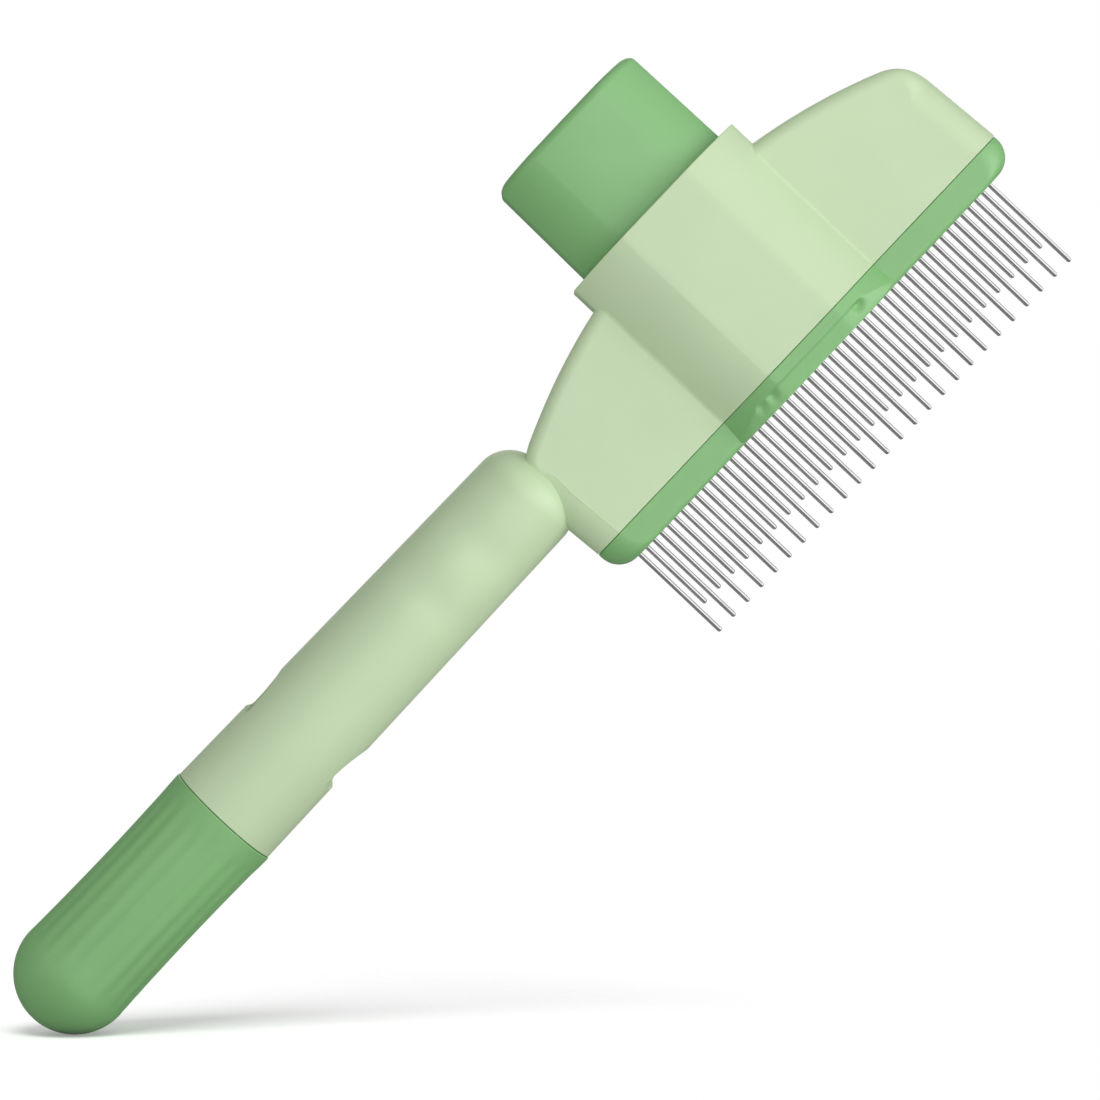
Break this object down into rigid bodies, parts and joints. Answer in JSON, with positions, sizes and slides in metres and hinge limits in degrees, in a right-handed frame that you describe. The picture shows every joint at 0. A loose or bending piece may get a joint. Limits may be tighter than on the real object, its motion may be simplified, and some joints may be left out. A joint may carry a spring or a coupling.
{
  "type": "deshedding comb",
  "caption": "Pet deshedding comb: round handle with fluted end cap, one row of alternating long and short wire teeth, and a push button that slides a stripper plate down the teeth.",
  "frame": {"origin": "centre of the flat face on the back of the collar, on the button's slide axis seen from the front, level with the handle's axis", "axes": "+X along the handle towards the free end of the head, +Y out of the back of the tool, +Z from the teeth to the button along the slide axis"},
  "size_m": [0.2002, 0.024, 0.0714],
  "materials": {
    "pale_green_plastic": "satin moulded",
    "leaf_green_plastic": "satin moulded",
    "white_plastic": "plain moulded",
    "tooth_steel": "bright drawn wire",
    "spring_steel": "drawn wire",
    "screw_steel": "zinc plated"
  },
  "bodies": {
    "housing": {"front_shell": "pale_green_plastic", "rear_shell": "pale_green_plastic", "end_cap": "leaf_green_plastic", "tooth_bar": "white_plastic", "bar_cover": "white_plastic", "long_teeth": "tooth_steel", "short_teeth": "tooth_steel", "guide_pin": "spring_steel", "return_spring": "spring_steel", "shell_screw_head_left": "screw_steel", "shell_screw_head_right": "screw_steel", "shell_screw_handle_end": "screw_steel", "shell_screw_handle_neck": "screw_steel"},
    "ejector": {"push_button": "leaf_green_plastic", "push_frame": "leaf_green_plastic", "stripper_plate": "leaf_green_plastic", "button_screw_left": "screw_steel", "button_screw_right": "screw_steel"}
  },
  "joints": [
    {"name": "ejector_slide", "type": "slide", "parent": "housing", "child": "ejector", "axis": [0, 0, -1], "range_m": [0, 0.014], "stiffness_N_per_m": 250, "springref_m": -0.005, "deforming": ["return_spring"]}
  ]
}
